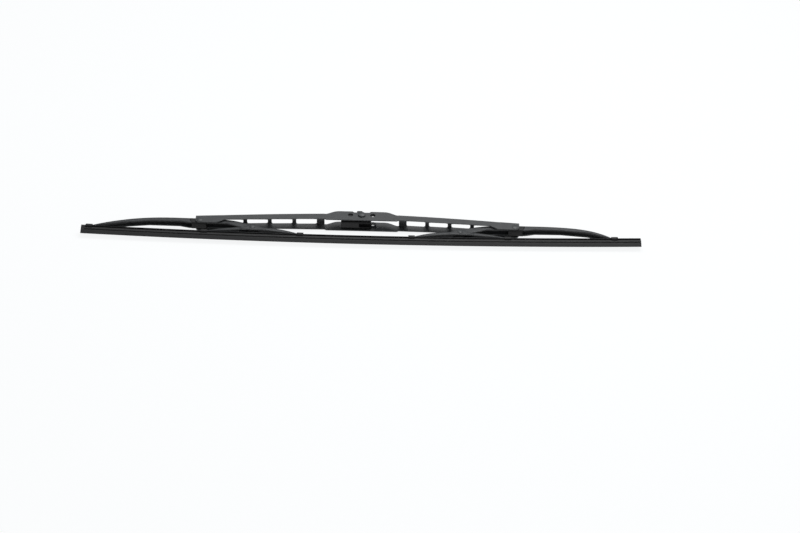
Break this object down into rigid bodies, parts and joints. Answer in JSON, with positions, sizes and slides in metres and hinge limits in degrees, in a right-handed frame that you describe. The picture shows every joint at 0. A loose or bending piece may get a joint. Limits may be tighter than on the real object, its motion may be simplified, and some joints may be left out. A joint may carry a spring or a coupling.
{
  "type": "wiper blade",
  "caption": "Steel-framed windscreen wiper blade: vented bridge, pivoting yokes and rockers, claw shoes that hold a railed rubber strip, and a swinging arm adapter at the hub.",
  "frame": {"origin": "middle of the hub pin, on the blade's middle plane", "axes": "+X along the blade towards its shorter half, +Y from the wiping lip towards the bridge, +Z across the blade, up as it lies on its side"},
  "size_m": [0.5588, 0.0516, 0.0168],
  "materials": {
    "frame_paint": "satin grey-black paint",
    "rivet_steel": "satin grey-black paint",
    "bush_plastic": "matte black",
    "rail_steel": "blackened spring steel",
    "strip_rubber": "matte black rubber",
    "adapter_plastic": "matte black"
  },
  "bodies": {
    "bridge": {"bridge": "frame_paint", "hub_pin": "rivet_steel", "left_bridge_rivet": "rivet_steel", "right_bridge_rivet": "rivet_steel"},
    "adapter": {"adapter": "adapter_plastic"},
    "left_yoke": {"left_yoke": "frame_paint", "left_pivot_bush": "bush_plastic", "left_rocker_bush": "bush_plastic", "left_yoke_shoe": "bush_plastic"},
    "right_yoke": {"right_yoke": "frame_paint", "right_pivot_bush": "bush_plastic", "right_rocker_bush": "bush_plastic", "right_yoke_shoe": "bush_plastic"},
    "left_rocker": {"left_rocker": "frame_paint", "left_rocker_rivet": "rivet_steel", "left_rocker_inner_shoe": "bush_plastic", "left_rocker_outer_shoe": "bush_plastic"},
    "right_rocker": {"right_rocker": "frame_paint", "right_rocker_rivet": "rivet_steel", "right_rocker_inner_shoe": "bush_plastic", "right_rocker_outer_shoe": "bush_plastic"},
    "strip": {"rubber": "strip_rubber", "upper_rail": "rail_steel", "lower_rail": "rail_steel"}
  },
  "joints": [
    {"name": "left_yoke_pivot", "type": "hinge", "parent": "bridge", "child": "left_yoke", "pos_m": [-0.1618, -0.0121, 0], "axis": [0, 0, 1], "range_deg": [-1, 5], "stiffness_Nm_per_rad": 2},
    {"name": "right_yoke_pivot", "type": "hinge", "parent": "bridge", "child": "right_yoke", "pos_m": [0.1538, -0.0121, 0], "axis": [0, 0, 1], "range_deg": [-4.96, 1.07]},
    {"name": "left_rocker_pivot", "type": "hinge", "parent": "left_yoke", "child": "left_rocker", "pos_m": [-0.1085, -0.0215, 0], "axis": [0, 0, 1], "range_deg": [-2.19, 0.52]},
    {"name": "right_rocker_pivot", "type": "hinge", "parent": "right_yoke", "child": "right_rocker", "pos_m": [0.0988, -0.0215, 0], "axis": [0, 0, 1], "range_deg": [-0.49, 2.06]},
    {"name": "strip_flex", "type": "slide", "parent": "bridge", "child": "strip", "axis": [0, 1, 0], "range_m": [-0.00162, 0.00729], "deforming": ["rubber", "upper_rail", "lower_rail"]},
    {"name": "adapter_swing", "type": "hinge", "parent": "bridge", "child": "adapter", "pos_m": [0, 0, 0], "axis": [0, 0, 1], "range_deg": [-15, 15]}
  ],
  "couplings": [
    {"joint": "right_yoke_pivot", "follows": "left_yoke_pivot", "ratio": -0.97131},
    {"joint": "left_rocker_pivot", "follows": "left_yoke_pivot", "ratio": -0.41861},
    {"joint": "right_rocker_pivot", "follows": "left_yoke_pivot", "ratio": 0.39109},
    {"joint": "strip_flex", "follows": "left_yoke_pivot", "m_per_rad": 0.08124}
  ]
}
